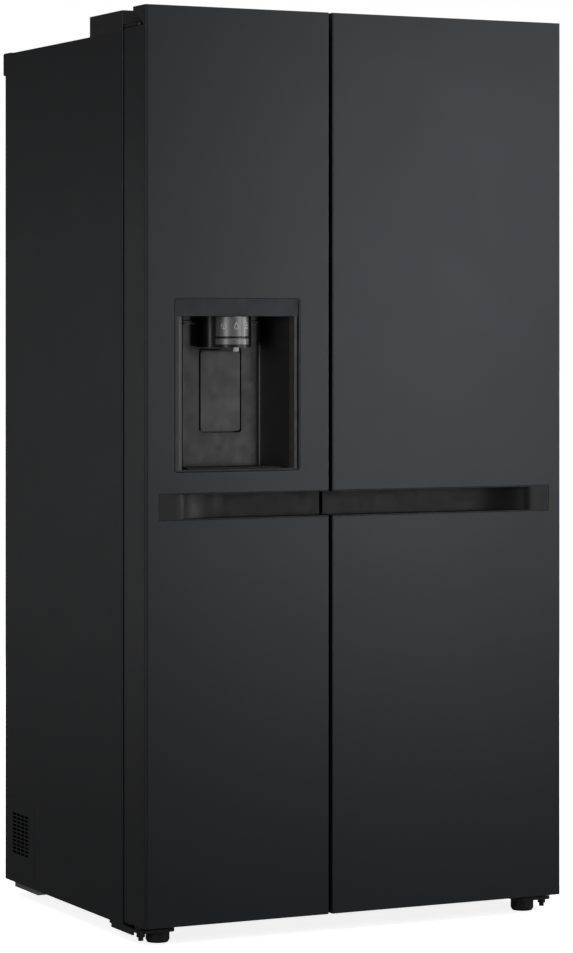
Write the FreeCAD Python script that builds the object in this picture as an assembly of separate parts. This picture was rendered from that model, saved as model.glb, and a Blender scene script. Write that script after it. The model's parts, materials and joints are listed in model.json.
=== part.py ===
"""Side-by-side refrigerator with a through-door ice and water dispenser, in millimetres.

Frame: +X to the right seen from the front, +Y to the back, +Z up. The origin is the centre of the
footprint, on the floor. Each function below makes one sub-part, and main() writes one STEP for each.
Left and right parts that mirror each other are made on the left (-X) and mirrored in the plane X = 0.
"""
import FreeCAD, Part
import math
import os
from FreeCAD import Vector

# ---------------------------------------------------------------- driving dimensions
WIDTH = 913.0
DEPTH = 735.0
HEIGHT = 1790.0

HALF = WIDTH / 2
FRONT = -DEPTH / 2                 # front face of the doors
REAR = DEPTH / 2                   # back of the rear top rail
CAB_FRONT = -257.0                 # front face of the cabinet
CASE_BACK = 358.0
CASE_BOTTOM = 28.0
CASE_TOP = 1748.0
SHEET = 1.2                        # folded steel sheet
FOLD_R = 2.0                       # inside corners of the folds are a little tighter than this

# doors
DOOR_BACK = -266.0
DOOR_BOTTOM = 36.0
DOOR_STEP = 1752.0                 # floor of the hinge notch, and top of the folded door sides
DOOR_GAP = (-66.5, -59.0)          # inner edges of the left and the right door
FREEZER_DOOR = (-HALF, DOOR_GAP[0])
FRIDGE_DOOR = (DOOR_GAP[1], HALF)
CORNER_R = 5.0                     # outer vertical edge of a door
INNER_R = 2.2                      # edge beside the other door
HINGE_X = 443.0                    # hinge pins, either side
HINGE_Y = -315.0
HINGE_ARM_Z = (1754.0, 1759.0)
CAP_PLUG = 30.0                    # how far an end cap reaches into the folded skin
CAP_WALL = 3.0

# compartments
FREEZER_X = (-400.0, -95.0)
FRIDGE_X = (-31.0, 412.0)
ROOM_Z = (90.0, 1695.0)
ROOM_BACK = 290.0
STEP_Z = 330.0                     # floor of the compartments above the machine room
STEP_Y = (85.0, 125.0)             # foot and head of the sloping wall in front of the machine room
LINER = 2.5
LINER_R = 8.0
RIB = 7.0                          # shelf ribs on the side walls
RIB_Y = (-120.0, 240.0)

SHELF_T = 4.0
SHELF_Y = (-128.0, 244.0)
SHELF_Z = (920.0, 1170.0, 1420.0)  # undersides of the glass shelves, both compartments
COVER_SHELF_Z = 672.0              # glass cover over the drawers
DRAWERS_Z = ((100.0, 366.0), (392.0, 648.0))
DRAWER_Y0 = -132.0
DRAWER_BACKS = (76.0, 236.0)
DRAWER_WALL = 3.0
TUB_R = 6.0                        # upright corners of drawers, bins and the ice bucket

# door linings
GASKET_W = 16.0
GASKET_Z = (66.0, 1721.0)
GASKETS_X = ((-440.0, -78.0), (-48.0, 440.0))
DYKE_BACK = -226.0
DYKE_W = 22.0
DYKE_Z = (100.0, 1685.0)
FREEZER_DYKE_X = (-392.0, -105.0)
FRIDGE_DYKE_X = (-21.0, 404.0)
WELL_Y = -290.0                    # floor of the hollow that the door bins stand in
BULGE_Y = -238.0                   # the freezer door is thicker behind the dispenser
BULGE_Z = (880.0, 1262.0)
BIN_FRONT = -178.0
BIN_WALL = 3.0
FREEZER_BINS_Z = (130.0, 380.0, 630.0)
FRIDGE_BINS_Z = (130.0, 400.0, 670.0, 940.0, 1190.0)
BIN_H = 105.0
DAIRY_BIN_Z = 1410.0
DAIRY_H = 64.0
DAIRY_HINGE = (-282.0, 1540.0)     # Y and Z of the dairy cover's hinge

# handle pockets
HANDLE_Z = (810.0, 860.5)
HANDLE_END = 428.0                 # distance of the flush outer end from the centre plane
HANDLE_FLUSH = 36.0
HANDLE_GAP = 1.0                   # shadow gap between the pocket and the folded skin
HANDLE_DEEP = 43.0
HANDLE_SWEEP = 118.0               # length over which the floor dives from flush to full depth
HANDLE_ROLL_R = 30.0
HANDLE_WALL = 2.0
GRIP_UP = 15.0                     # finger undercut above the pocket

# dispenser
DISP_X = -262.4
SPOUT_X = DISP_X + 2.0
DISP_HALF = 133.5
DISP_Z = (901.0, 1233.0)
DISP_CORNER = 6.0
FASCIA_W = 3.0
FASCIA_T = 4.0
PANEL_INSET = 1.8
FASCIA_FOOT = 1199.0               # lower edge of the fascia panel and ceiling of the recess
RECESS_FLOOR = 905.0
RECESS_D = 81.0
RECESS_HALF = (129.5, 114.5, 83.5)  # half-widths at the mouth, behind the chamfer and at the back
CHAMFER_D = 9.0
HOUSING_WALL = 2.5
DIAL_Y = FRONT + 34.0
DIAL_R = 33.0
DIAL_Z = (1159.5, 1198.4)
SPOUT_R = 28.0
NOZZLE_Z = (1139.0, 1157.8)
PADDLE_HALF = 42.0
PADDLE_Z = (976.5, 1131.0)
PADDLE_PIVOT = (FRONT + 86.0, 1132.0)
POCKET_HALF = 45.5
POCKET_Z = (973.0, 1138.0)
POCKET_D = 97.0

# underside and machine room
FOOT = (403.5, -305.0)
FOOT_R = 23.0
FOOT_H = 21.0
STUD_R = 5.0
RUNNING = 0.05                     # radial clearance of pins in their holes
ROLLER = (400.0, 300.0)
ROLLER_R = 20.0
ROLLER_W = 24.0
AXLE_R = 4.0
PAN_Z = 12.0
MACHINE_TOP = 300.0
MACHINE_Y = 110.0
BASE_HALF = 440.0
COVER_Y = 350.0                    # inner face of the machine room cover
COVER_Z = (32.0, 297.0)
VENT_Y = (194.0, 352.0)
VENT_Z = (40.0, 202.0)
COMPRESSOR = (270.0, 270.0)
FAN_X = 8.0
FAN_YZ = (240.0, 135.0)
FAN_R = 68.0
EVAP_FAN = (-247.5, 1290.0)
EVAP_FAN_R = 46.0
SHAFT_R = 3.0
VALVE = (-320.0, 175.0)
SPIGOT_R = 13.2
GLAND = (330.0, 80.0)

PARTS = {}


# ---------------------------------------------------------------- helpers
def box(x, y, z):
    """A box from three (low, high) pairs."""
    return Part.makeBox(x[1] - x[0], y[1] - y[0], z[1] - z[0], Vector(x[0], y[0], z[0]))


def rod(r, start, axis, length):
    return Part.makeCylinder(r, length, Vector(*start), Vector(*axis))


def fuse(shapes):
    """One clean shape from several that overlap or touch."""
    first, *rest = shapes
    return first.multiFuse(rest).removeSplitter() if rest else first


def cut(shape, tools):
    return shape.cut(tools) if tools else shape


def grown(pair, by):
    return (pair[0] - by, pair[1] + by)


def prism(points, direction):
    """Straight-sided prism from a closed list of points."""
    wire = Part.makePolygon([Vector(*p) for p in points] + [Vector(*points[0])])
    return Part.Face(wire).extrude(Vector(*direction))


def edges_along(shape, axis, keep=lambda edge: True):
    """Straight edges parallel to axis 0, 1 or 2."""
    found = []
    for edge in shape.Edges:
        if len(edge.Vertexes) != 2 or not isinstance(edge.Curve, Part.Line):
            continue
        d = edge.Vertexes[1].Point - edge.Vertexes[0].Point
        if abs(abs(d[axis]) - d.Length) < 1e-6 and keep(edge):
            found.append(edge)
    return found


def rounded(shape, radius, axis, keep=lambda edge: True):
    edges = edges_along(shape, axis, keep)
    return shape.makeFillet(radius, edges) if edges else shape


def mirrored(shape):
    return shape.mirror(Vector(0, 0, 0), Vector(1, 0, 0))


def ring(x, y, z, width):
    """Rectangular ring standing in the XZ plane."""
    return box(x, y, z).cut(box(grown(x, -width), grown(y, 1), grown(z, -width)))


def tub(x, y, z, wall, radius):
    """Open-topped box with rounded upright edges."""
    outer = rounded(box(x, y, z), radius, 2)
    inner = rounded(box(grown(x, -wall), grown(y, -wall), (z[0] + wall, z[1] + 1)), radius - wall, 2)
    return outer.cut(inner)


# ---------------------------------------------------------------- cabinet
def side_panel():
    """Left outer panel: one folded sheet with a front and a rear return, and a window for the vent."""
    y, z = (CAB_FRONT, CASE_BACK), (CASE_BOTTOM, CASE_TOP)
    blank = rounded(box((-HALF, -HALF + 12), y, z), 3.0, 2, lambda e: e.Vertexes[0].X < -HALF + 1)
    hollow = rounded(
        box((-HALF + SHEET, -HALF + 13), grown(y, -SHEET), grown(z, 1)), 1.8, 2,
        lambda e: e.Vertexes[0].X < -HALF + 3,
    )
    window = box((-HALF - 1, -HALF + 3), VENT_Y, VENT_Z)
    return blank.cut(hollow).cut(window)


def top_panel():
    sheet = box((-HALF + SHEET, HALF - SHEET), (CAB_FRONT + SHEET, CASE_BACK - SHEET), (CASE_TOP - SHEET, CASE_TOP))
    sheet = rounded(sheet, FOLD_R, 2)
    inner = HALF - 12.5
    lip = box((-inner, inner), (CAB_FRONT, CAB_FRONT + SHEET), (CASE_TOP - 10, CASE_TOP))
    return fuse([sheet, lip])


def back_panel():
    """Rear sheet above the machine room, with pressed stiffening ribs."""
    inner = HALF - 12.5
    shapes = [box((-inner, inner), (CASE_BACK - SHEET, CASE_BACK), (MACHINE_TOP + 2, CASE_TOP - SHEET))]
    ribs = 6
    pitch = 2 * (inner - 70) / (ribs - 1)
    for i in range(ribs):
        x = -inner + 70 + i * pitch
        rib = box((x - 9, x + 9), (CASE_BACK - 0.4, CASE_BACK + 3), (MACHINE_TOP + 90, CASE_TOP - 110))
        shapes.append(rounded(rib, 2.5, 2, lambda e: e.Vertexes[0].Y > CASE_BACK + 2))
    return fuse(shapes)


def front_frame():
    """Steel face that the door seals close on, with a window for each compartment."""
    inner = HALF - 12.5
    face = box((-inner, inner), (CAB_FRONT, CAB_FRONT + SHEET), (CASE_BOTTOM + 2, CASE_TOP - 10.2))
    windows = [
        rounded(box(grown(x, LINER + 0.1), (CAB_FRONT - 1, CAB_FRONT + 3), grown(ROOM_Z, LINER + 0.1)),
                LINER_R + LINER, 1)
        for x in (FREEZER_X, FRIDGE_X)
    ]
    return cut(face, windows)


def room(x, grow, radius):
    """Inside of a compartment, grown by a margin: a tall room with a step over the machine room."""
    slope = math.hypot(STEP_Y[1] - STEP_Y[0], STEP_Z - ROOM_Z[0])
    lean = grow * (slope - (STEP_Y[1] - STEP_Y[0])) / (STEP_Z - ROOM_Z[0])
    low, high = ROOM_Z[0] - grow, ROOM_Z[1] + grow
    outline = [
        (x[0] - grow, CAB_FRONT, low), (x[0] - grow, STEP_Y[0] + lean, low),
        (x[0] - grow, STEP_Y[1] + lean, STEP_Z - grow), (x[0] - grow, ROOM_BACK + grow, STEP_Z - grow),
        (x[0] - grow, ROOM_BACK + grow, high), (x[0] - grow, CAB_FRONT, high),
    ]
    solid = prism(outline, (x[1] - x[0] + 2 * grow, 0, 0))
    solid = rounded(solid, radius, 1)
    return rounded(solid, radius, 2, lambda e: e.Vertexes[0].Y > ROOM_BACK - 1)


def liner(x, ledges):
    """Vacuum-formed inner lining with ribs that carry the shelves and drawers."""
    shell = room(x, LINER, LINER_R + LINER).cut(room(x, 0, LINER_R))
    ribs = []
    for z, y in ledges:
        ribs.append(box((x[0] - 1, x[0] + RIB), y, (z - 8, z)))
        ribs.append(box((x[1] - RIB, x[1] + 1), y, (z - 8, z)))
    ribs = [rounded(r, 2.5, 1) for r in ribs]
    return fuse([shell] + ribs)


def ledges():
    """Height and Y range of each rib: under every shelf, and under every drawer's flange."""
    shelves = [(z, RIB_Y) for z in SHELF_Z + (COVER_SHELF_Z,)]
    rails = [(z[1] - 8.5, (DRAWER_Y0 + 8, back - 6)) for z, back in zip(DRAWERS_Z, DRAWER_BACKS)]
    return shelves + rails


def cabinet_foam():
    """Insulation between the outer panels and the linings, 0.6 mm clear of both."""
    gap = 0.6
    block = box((-HALF + SHEET + gap, HALF - SHEET - gap), (CAB_FRONT + SHEET + gap, CASE_BACK - SHEET - gap),
                (CASE_BOTTOM + 2 + gap, CASE_TOP - SHEET - gap))
    rooms = [room(x, LINER + gap, LINER_R + LINER + gap) for x in (FREEZER_X, FRIDGE_X)]
    tools = [r.fuse(r.translated(Vector(0, -5, 0))) for r in rooms]
    machine = prism(
        [(-HALF, MACHINE_Y - 2 * gap, 0), (-HALF, MACHINE_Y - 2 * gap, CASE_BOTTOM),
         (-HALF, STEP_Y[1] + 9 - 2 * gap, MACHINE_TOP + 2 + gap), (-HALF, CASE_BACK + 5, MACHINE_TOP + 2 + gap),
         (-HALF, CASE_BACK + 5, 0)], (WIDTH, 0, 0))
    seams = [box((-HALF, -HALF + 12.7), (CAB_FRONT, CAB_FRONT + 3), (0, HEIGHT)),
             box((HALF - 12.7, HALF), (CAB_FRONT, CAB_FRONT + 3), (0, HEIGHT))]
    return cut(block, tools + [machine] + seams)


def base_frame():
    """Underside plate, machine-room bulkhead and the hanging rear pan with its roller brackets."""
    t = 1.8
    half = HALF - SHEET - 0.2
    plate = box((-half, half), (CAB_FRONT + SHEET, MACHINE_Y + t), (CASE_BOTTOM, CASE_BOTTOM + t))
    plate = rounded(plate, FOLD_R, 2, lambda e: e.Vertexes[0].Y < 0)
    foot, head = (MACHINE_Y, CASE_BOTTOM), (STEP_Y[1] + 9, MACHINE_TOP)
    bulkhead = prism(
        [(-half, *foot), (-half, *head), (-half, CASE_BACK - 6, head[1]), (-half, CASE_BACK - 6, head[1] - t),
         (-half, head[0] + t, head[1] - t), (-half, foot[0] + t, foot[1])], (2 * half, 0, 0))
    toe = [(MACHINE_Y, CASE_BOTTOM), (168, CASE_BOTTOM), (216, PAN_Z), (343, PAN_Z), (343, 31)]
    heel = [(343 - t, 31), (343 - t, PAN_Z + t), (216.5, PAN_Z + t), (168.5, CASE_BOTTOM + t), (MACHINE_Y, CASE_BOTTOM + t)]
    pan = prism([(-BASE_HALF, *p) for p in toe + heel], (2 * BASE_HALF, 0, 0))
    cheek = prism([(-BASE_HALF, *p) for p in toe[1:] + [(168, 31)]], (t, 0, 0))
    shapes = [plate, bulkhead, pan, cheek, mirrored(cheek)]
    windows = []
    x, y = ROLLER
    for side in (-1, 1):
        windows.append(box((side * x - 15, side * x + 15), (y - 26, y + 26), (PAN_Z - 1, PAN_Z + 3)))
        for ear in (-15, 13):
            shapes.append(box((side * x + ear, side * x + ear + 2), (y - 14, y + 14), (PAN_Z, 44)))
        shapes.append(rod(AXLE_R, (side * x - 17, y, ROLLER_R), (1, 0, 0), 34))
    body = fuse(shapes[:5]).cut(windows)
    return fuse([body] + shapes[5:])


def rear_top_rail():
    """Plastic rail that closes the cabinet's top rear edge."""
    rail = rounded(box((-HALF, HALF), (CASE_BACK + 0.1, REAR), (1703, 1749)), 4.0, 0)
    lip = box((-HALF, HALF), (CASE_BACK - 30, REAR - 5), (CASE_TOP + 0.1, CASE_TOP + 1.6))
    return fuse([rail, lip])


def side_vent_grille():
    """Slotted cover in the side panel's window, beside the machine room."""
    plate = box((-HALF + 0.1, -HALF + 3.1), grown(VENT_Y, -1.2), grown(VENT_Z, -0.2))
    slots = []
    for column in range(4):
        for row in range(11):
            y = 228 + column * 22.5
            z = 88 + row * 7.9
            slots.append(box((-HALF - 1, -HALF + 5), (y, y + 19), (z, z + 5.2)))
    return plate.cut(slots)


def rear_cover():
    """Louvred cover of the machine room with the power cord's gland, which is empty."""
    inner = HALF - 12.5
    sheet = rounded(box((-inner, inner), (COVER_Y, COVER_Y + 2), COVER_Z), 10.0, 1)
    slots = []
    for bank in (-330, -170, 90, 220):
        for row in range(10):
            z = 110 + row * 14
            if bank == -330 and row > 1:
                continue
            slots.append(box((bank, bank + 110), (COVER_Y - 1, COVER_Y + 4), (z, z + 6)))
    x, z = VALVE
    slots.append(rod(SPIGOT_R + 1.3, (x, COVER_Y - 1, z), (0, 1, 0), 5))
    gx, gz = GLAND
    boss = rod(11, (gx, COVER_Y - 4, gz), (0, 1, 0), 13)
    return fuse([sheet.cut(slots), boss]).cut(rod(4.2, (gx, COVER_Y - 6, gz), (0, 1, 0), 20))


def water_inlet_valve():
    """Solenoid valve inside the machine room with its threaded tail through the rear cover."""
    x, z = VALVE
    body = rounded(box((x - 20, x + 20), (COVER_Y - 46, COVER_Y - 6), (z - 22, z + 22)), 5.0, 1)
    coil = rod(14, (x, COVER_Y - 30, z + 20), (0, 0, 1), 30)
    tail = rod(SPIGOT_R, (x, COVER_Y - 8, z), (0, 1, 0), 24)
    collar = rod(SPIGOT_R + 4, (x, COVER_Y + 2.1, z), (0, 1, 0), 2.5)
    return fuse([body, coil, tail, collar]).cut(rod(5, (x, COVER_Y - 30, z), (0, 1, 0), 60))


def compressor():
    """Welded steel can on a foot plate with four rubber mounts and a terminal box."""
    x, y = COMPRESSOR
    can = rod(68, (x, y, 62), (0, 0, 1), 110)
    dome = Part.makeSphere(95, Vector(x, y, 105)).common(rod(68, (x, y, 171), (0, 0, 1), 40))
    bowl = Part.makeSphere(95, Vector(x, y, 130)).common(rod(68, (x, y, 30), (0, 0, 1), 33))
    shapes = [can, dome, bowl, rounded(box((x - 95, x + 95), (y - 55, y + 55), (40, 44)), 10, 2)]
    for dx in (-80, 80):
        for dy in (-42, 42):
            shapes.append(rod(11, (x + dx, y + dy, PAN_Z + 1.8), (0, 0, 1), 30))
    shapes.append(rounded(box((x - 95, x - 55), (y - 28, y + 28), (95, 150)), 5, 2))
    return fuse(shapes)


def condenser():
    """Finned tube bank on the left of the machine room."""
    shapes = []
    for i in range(9):
        x = -285 + i * 25
        shapes.append(box((x, x + 1.5), (170, 330), (60, 250)))
    for row in range(5):
        for column in range(4):
            shapes.append(rod(4, (-295, 190 + column * 40, 80 + row * 38), (1, 0, 0), 225))
    feet = [box((x, x + 1.5), (225, 330), (PAN_Z + 1.8, 61)) for x in (-285, -85)]
    return fuse(shapes + feet)


def fan_motor():
    """Shroud plate, three arms and the motor with its shaft, for the condenser fan."""
    y, z = FAN_YZ
    shroud = box((0, 3), (y - 90, y + 95), (31, z + 95)).cut(rod(FAN_R + 5, (-1, y, z), (1, 0, 0), 6))
    tab = box((0, 3), (y - 15, y + 75), (PAN_Z + 1.8, 32))
    motor = rod(22, (FAN_X + 24, y, z), (1, 0, 0), 30)
    arms = []
    for i in range(3):
        arm = box((FAN_X + 34, FAN_X + 40), (y - 5, y + 5), (z, z + 84))
        leg = box((2, FAN_X + 40), (y - 5, y + 5), (z + 78, z + 84))
        for piece in (arm, leg):
            arms.append(piece.rotated(Vector(0, y, z), Vector(1, 0, 0), 120 * i))
    shaft = rod(SHAFT_R, (FAN_X - 2, y, z), (1, 0, 0), 28)
    return fuse([shroud, tab, motor, shaft] + arms)


def propeller(radius, hub_r, depth, blades, pitch):
    """Axial fan about +Z, hub from z = 0 to depth, with a through bore for the motor shaft."""
    shapes = [Part.makeCylinder(hub_r, depth)]
    for i in range(blades):
        blade = box((hub_r - 3, radius), (-radius * 0.26, radius * 0.26), (-0.9, 0.9))
        blade = rounded(blade, radius * 0.16, 2, lambda e: e.Vertexes[0].X > hub_r)
        blade = blade.rotated(Vector(0, 0, 0), Vector(1, 0, 0), pitch)
        blade = blade.translated(Vector(0, 0, depth / 2))
        shapes.append(blade.rotated(Vector(0, 0, 0), Vector(0, 0, 1), i * 360 / blades))
    return fuse(shapes).cut(Part.makeCylinder(SHAFT_R + RUNNING, depth + 2, Vector(0, 0, -1)))


def condenser_fan():
    fan = propeller(FAN_R, 18, 18, 5, 22)
    fan = fan.rotated(Vector(0, 0, 0), Vector(0, 1, 0), 90)
    return fan.translated(Vector(FAN_X, *FAN_YZ))


def evaporator():
    """Finned coil behind the freezer's back cover, and the motor of the fan above it."""
    shapes = [box((x, x + 1), (262, 286), (420, 680)) for x in range(-378, -115, 18)]
    for row in range(6):
        shapes.append(rod(4, (-384, 274, 445 + row * 42), (1, 0, 0), 272))
    x, z = EVAP_FAN
    motor = fuse([rod(18, (x, 277, z), (0, 1, 0), 10), rod(SHAFT_R, (x, 258, z), (0, 1, 0), 20),
                  box((x - 30, x + 30), (285, 287.5), (z - 8, z + 8))])
    return Part.makeCompound([fuse(shapes), motor])


def evaporator_fan():
    fan = propeller(EVAP_FAN_R, 13, 14, 5, 20)
    fan = fan.rotated(Vector(0, 0, 0), Vector(1, 0, 0), -90)
    return fan.translated(Vector(EVAP_FAN[0], 260.0, EVAP_FAN[1]))


def evaporator_cover():
    """Freezer back cover with air slots and the fan's grille."""
    x = grown(FREEZER_X, -1.5)
    z = (STEP_Z + 3, ROOM_Z[1] - 3)
    outer = rounded(box(x, (250, ROOM_BACK - 0.4), z), LINER_R - 1, 1)
    outer = outer.makeFillet(5.0, [e for e in outer.Edges if e.BoundBox.YMax < 250.01])
    outer = outer.common(room(FREEZER_X, -0.8, LINER_R - 0.8))
    shell = outer.cut(rounded(box(grown(x, -3), (253, ROOM_BACK + 1), grown(z, -3)), LINER_R - 4, 1))
    slots = []
    centre = sum(FREEZER_X) / 2
    for base in (1040, 1500, 740):
        slots += [box((centre - 80, centre + 80), (249, 254), (base + 14 * i, base + 14 * i + 6)) for i in range(4)]
    fx, fz = EVAP_FAN
    for i in range(-4, 5):
        half = math.sqrt(EVAP_FAN_R ** 2 - (i * 10.5) ** 2)
        slots.append(box((fx - half, fx + half), (249, 254), (fz + i * 10.5 - 3, fz + i * 10.5 + 3)))
    return shell.cut(slots)


def fridge_air_duct():
    """Raised duct on the fresh-food back wall with an outlet over each shelf."""
    centre = sum(FRIDGE_X) / 2
    outer = rounded(box((centre - 85, centre + 85), (262, ROOM_BACK - 0.2), (380, 1670)), 8.0, 2,
                    lambda e: e.Vertexes[0].Y < 263)
    shell = outer.cut(box((centre - 82, centre + 82), (265, ROOM_BACK + 1), (383, 1667)))
    slots = []
    for base in (790, 1040, 1290, 1540):
        for i in range(3):
            slots.append(box((centre - 60, centre + 60), (261, 266), (base + 13 * i, base + 13 * i + 6)))
    return shell.cut(slots)


def shelf_panes():
    """Tempered glass shelves of both compartments, with the drawers' cover below them."""
    panes = []
    for x in (FREEZER_X, FRIDGE_X):
        for z in SHELF_Z + (COVER_SHELF_Z,):
            panes.append(rounded(box(grown(x, -4), SHELF_Y, (z, z + SHELF_T)), 6.0, 2))
    return Part.makeCompound(panes)


def shelf_trims():
    """Front trim of each glass shelf: a channel that grips the glass and drops below it."""
    trims = []
    for x in (FREEZER_X, FRIDGE_X):
        for z in SHELF_Z + (COVER_SHELF_Z,):
            bar = rounded(box(grown(x, -3), (SHELF_Y[0] - 8, SHELF_Y[0] + 7.5), (z - 9, z + SHELF_T + 3)), 3.0, 0)
            slot = box(grown(x, 5), (SHELF_Y[0] - 0.2, SHELF_Y[0] + 9), (z - 0.05, z + SHELF_T + 0.05))
            ends = [box((x[0] - 1, x[0] + RIB + 1), (SHELF_Y[0] + 7, SHELF_Y[0] + 12), (z - 10, z)),
                    box((x[1] - RIB - 1, x[1] + 1), (SHELF_Y[0] + 7, SHELF_Y[0] + 12), (z - 10, z))]
            trims.append(bar.cut([slot] + ends))
    return Part.makeCompound(trims)


def drawer(x, y, z):
    """Pull-out drawer hung on side flanges, with a grip lip along its front."""
    body = tub(grown(x, -10), y, z, DRAWER_WALL, TUB_R)
    flanges = [box((x[0] + 2, x[0] + 11), (y[0] + 14, y[1] - 14), (z[1] - 8, z[1] - 4)),
               box((x[1] - 11, x[1] - 2), (y[0] + 14, y[1] - 14), (z[1] - 8, z[1] - 4))]
    face = rounded(box(grown(x, -6), (y[0] - 6, y[0] + 1), (z[0] + 2, z[1])), 5.0, 1)
    grip = rounded(box((x[0] + 40, x[1] - 40), (y[0] - 13, y[0] - 5), (z[1] - 14, z[1])), 3.0, 0)
    return fuse([body, face, grip] + flanges)


# ---------------------------------------------------------------- hinges and supports
def top_hinge():
    """Left top hinge: plate screwed to the cabinet, arm over the door's notch, pin pointing down."""
    pad = box((-450, -398), (-238, -140), (CASE_TOP, HINGE_ARM_Z[0] + 0.5))
    plate = rounded(box((-453.5, -392), (-244, -136), HINGE_ARM_Z), 8.0, 2, lambda e: e.Vertexes[0].X > -400)
    arm = box((-HINGE_X - 10.5, -HINGE_X + 10.5), (HINGE_Y, -240), HINGE_ARM_Z)
    height = HINGE_ARM_Z[1] - HINGE_ARM_Z[0]
    eye = rod(10.5, (-HINGE_X, HINGE_Y, HINGE_ARM_Z[0]), (0, 0, 1), height)
    pin = rod(STUD_R, (-HINGE_X, HINGE_Y, DOOR_STEP - 24), (0, 0, 1), HINGE_ARM_Z[1] - DOOR_STEP + 26)
    return fuse([pad, plate, arm, eye, pin])


def bottom_hinge():
    """Left bottom hinge: plate under the cabinet that carries the door's pin and the foot's stud."""
    z = (CASE_BOTTOM - 6, CASE_BOTTOM)
    plate = rounded(box((-455, -378), (-336, -182), z), 12.0, 2)
    flange = box((-455, -451), (-302, -200), (CASE_BOTTOM - 13, CASE_BOTTOM - 5))
    pin = rod(6, (-HINGE_X, HINGE_Y, CASE_BOTTOM - 5), (0, 0, 1), 35)
    collar = rod(11, (-HINGE_X, HINGE_Y, CASE_BOTTOM - 1), (0, 0, 1), DOOR_BOTTOM + 1.6 - CASE_BOTTOM)
    nut_wire = [(-HINGE_X + 9 * math.cos(math.radians(a)), HINGE_Y + 9 * math.sin(math.radians(a)), 13)
                for a in range(0, 360, 60)]
    nut = prism(nut_wire, (0, 0, 10))
    tip = rod(5, (-HINGE_X, HINGE_Y, 6), (0, 0, 1), 8)
    stud = rod(STUD_R, (-FOOT[0], FOOT[1], 4.5), (0, 0, 1), CASE_BOTTOM - 5)
    return fuse([plate, flange, pin, collar, nut, tip, stud])


def hinge_cover():
    """Left hinge cover on the cabinet's top, with a slot at the front for the hinge arm."""
    x, y, z = (-HALF, -330.0), (CAB_FRONT, -95.0), (CASE_TOP, 1788.0)
    outer = rounded(box(x, y, z), 2.5, 2)
    outer = outer.makeFillet(1.5, [e for e in outer.Edges if e.BoundBox.ZMin > z[1] - 0.01])
    shell = outer.cut(box(grown(x, -2.4), grown(y, -2.4), (z[0] - 1, z[1] - 2.4)))
    return shell.cut(box((-HINGE_X - 11.5, -HINGE_X + 11.5), (CAB_FRONT - 1, CAB_FRONT + 4), (CASE_TOP - 1, 1761)))


def levelling_foot():
    """Left front foot: a ribbed disc with a blind thread that turns on the hinge plate's stud."""
    x, y = -FOOT[0], FOOT[1]
    disc = Part.makeCone(20, FOOT_R, 5, Vector(x, y, 0)).fuse(rod(FOOT_R, (x, y, 5), (0, 0, 1), FOOT_H - 5))
    notches = []
    for i in range(16):
        angle = math.radians(i * 22.5)
        spot = (x + (FOOT_R + 1.2) * math.cos(angle), y + (FOOT_R + 1.2) * math.sin(angle), 6.5)
        notches.append(rod(2.2, spot, (0, 0, 1), FOOT_H - 9))
    bore = rod(STUD_R + RUNNING, (x, y, 4), (0, 0, 1), FOOT_H)
    return disc.removeSplitter().cut(notches + [bore])


def rear_roller():
    """Left rear roller with a bore for its axle."""
    x, y = -ROLLER[0], ROLLER[1]
    wheel = rod(ROLLER_R, (x - ROLLER_W / 2, y, ROLLER_R), (1, 0, 0), ROLLER_W)
    wheel = wheel.makeChamfer(1.5, [e for e in wheel.Edges if isinstance(e.Curve, Part.Circle)])
    return wheel.cut(rod(AXLE_R + RUNNING, (x - 20, y, ROLLER_R), (1, 0, 0), 40))


def screws():
    """Hinge, hinge cover, rear cover and bottom hinge screws."""
    def head(x, y, z, axis, r=5.5, height=3.5):
        return rod(r, (x, y, z), axis, height)

    heads = []
    inner = HALF - 30
    for side in (-1, 1):
        for x, y in ((-440, -200), (-410, -200), (-425, -155)):
            heads.append(head(side * x, y, HINGE_ARM_Z[1] + 0.05, (0, 0, 1)))
        heads.append(head(side * -345, -110, 1788.05, (0, 0, 1), 4.0, 1.6))
        for x, y in ((-430, -215), (-395, -215)):
            heads.append(head(side * x, y, CASE_BOTTOM - 6.05, (0, 0, -1)))
        for z in (COVER_Z[0] + 14, COVER_Z[1] - 14):
            for x in (inner, inner / 3):
                heads.append(head(side * x, COVER_Y + 2.05, z, (0, 1, 0), 4.5, 2.5))
    return Part.makeCompound(heads)


# ---------------------------------------------------------------- doors
def hinge_x(door):
    return -HINGE_X if door is FREEZER_DOOR else HINGE_X


def door_block(x, y0, z, inset):
    """Solid bounded by the door's outer skin, moved in by inset, with its rounded front edges."""
    block = box(grown(x, -inset), (FRONT + inset, y0), z)
    outer = x[0] if x is FREEZER_DOOR else x[1]
    block = rounded(block, CORNER_R - inset, 2, lambda e: e.Vertexes[0].Y < FRONT + 3
                    and abs(e.Vertexes[0].X - outer) < 3)
    return rounded(block, INNER_R - inset, 2, lambda e: e.Vertexes[0].Y < FRONT + 3
                   and abs(e.Vertexes[0].X - outer) > 50)


def handle_window(x):
    end = -HANDLE_END - HANDLE_GAP if x is FREEZER_DOOR else HANDLE_END + HANDLE_GAP
    edge = x[1] + 1 if x is FREEZER_DOOR else x[0] - 1
    return box(tuple(sorted((end, edge))), (FRONT - 1, FRONT + HANDLE_DEEP + 3.4), grown(HANDLE_Z, HANDLE_GAP))


def dispenser_window(gap):
    x, z = (DISP_X - DISP_HALF, DISP_X + DISP_HALF), DISP_Z
    return rounded(box(grown(x, gap), (FRONT - 1, FRONT + 3), grown(z, gap)), DISP_CORNER, 1)


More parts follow.
